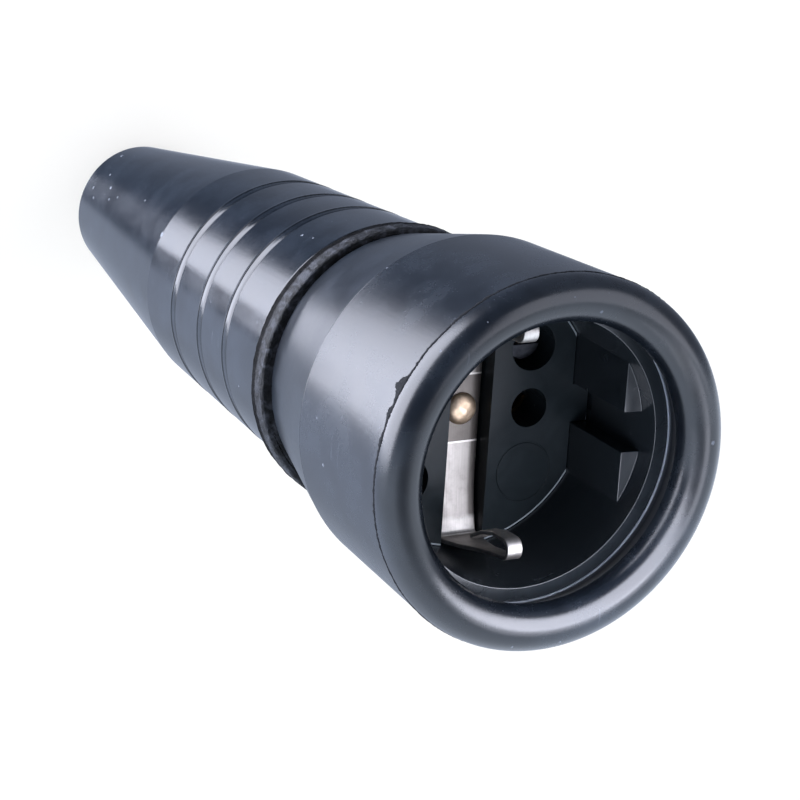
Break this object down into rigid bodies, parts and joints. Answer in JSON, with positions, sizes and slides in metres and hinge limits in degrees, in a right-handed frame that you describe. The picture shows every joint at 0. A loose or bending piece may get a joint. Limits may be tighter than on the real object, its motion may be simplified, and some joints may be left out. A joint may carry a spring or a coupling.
{
  "type": "inline socket connector",
  "caption": "Black rubber inline mains socket: round earthed recess behind a rolled lip, banded rear hood tapering to a cord inlet.",
  "frame": {"origin": "centre of the flat tail ring, at the cord inlet, on which the connector stands", "axes": "+Z along the axis and out of the mouth; the pin holes lie on X and the earth strip runs along Y"},
  "size_m": [0.0538, 0.0538, 0.1347],
  "materials": {
    "rubber": "moulded black rubber, semi-gloss with a bloom",
    "hard_plastic": "moulded thermoset, glossy black",
    "collar_plastic": "moulded plastic, dull black with a rough edge",
    "nickelled_strip": "nickel-plated spring brass",
    "brass": "turned brass",
    "steel": "zinc-plated steel"
  },
  "bodies": {
    "root": {"front_shell": "rubber", "rear_hood": "rubber", "joint_collar": "collar_plastic", "recess_cup": "hard_plastic", "contact_plate": "hard_plastic", "contact_base": "hard_plastic", "earth_strip": "nickelled_strip", "earth_rivet": "brass", "earth_terminal": "brass", "earth_terminal_screw": "steel", "line_contact": "brass", "line_spring_ring": "steel", "line_terminal_screw": "steel", "neutral_contact": "brass", "neutral_spring_ring": "steel", "neutral_terminal_screw": "steel", "upper_insert_screw": "steel", "upper_thread_bush": "brass", "lower_insert_screw": "steel", "lower_thread_bush": "brass", "clamp_saddle": "hard_plastic", "left_clamp_screw": "steel", "right_clamp_screw": "steel"}
  },
  "joints": []
}
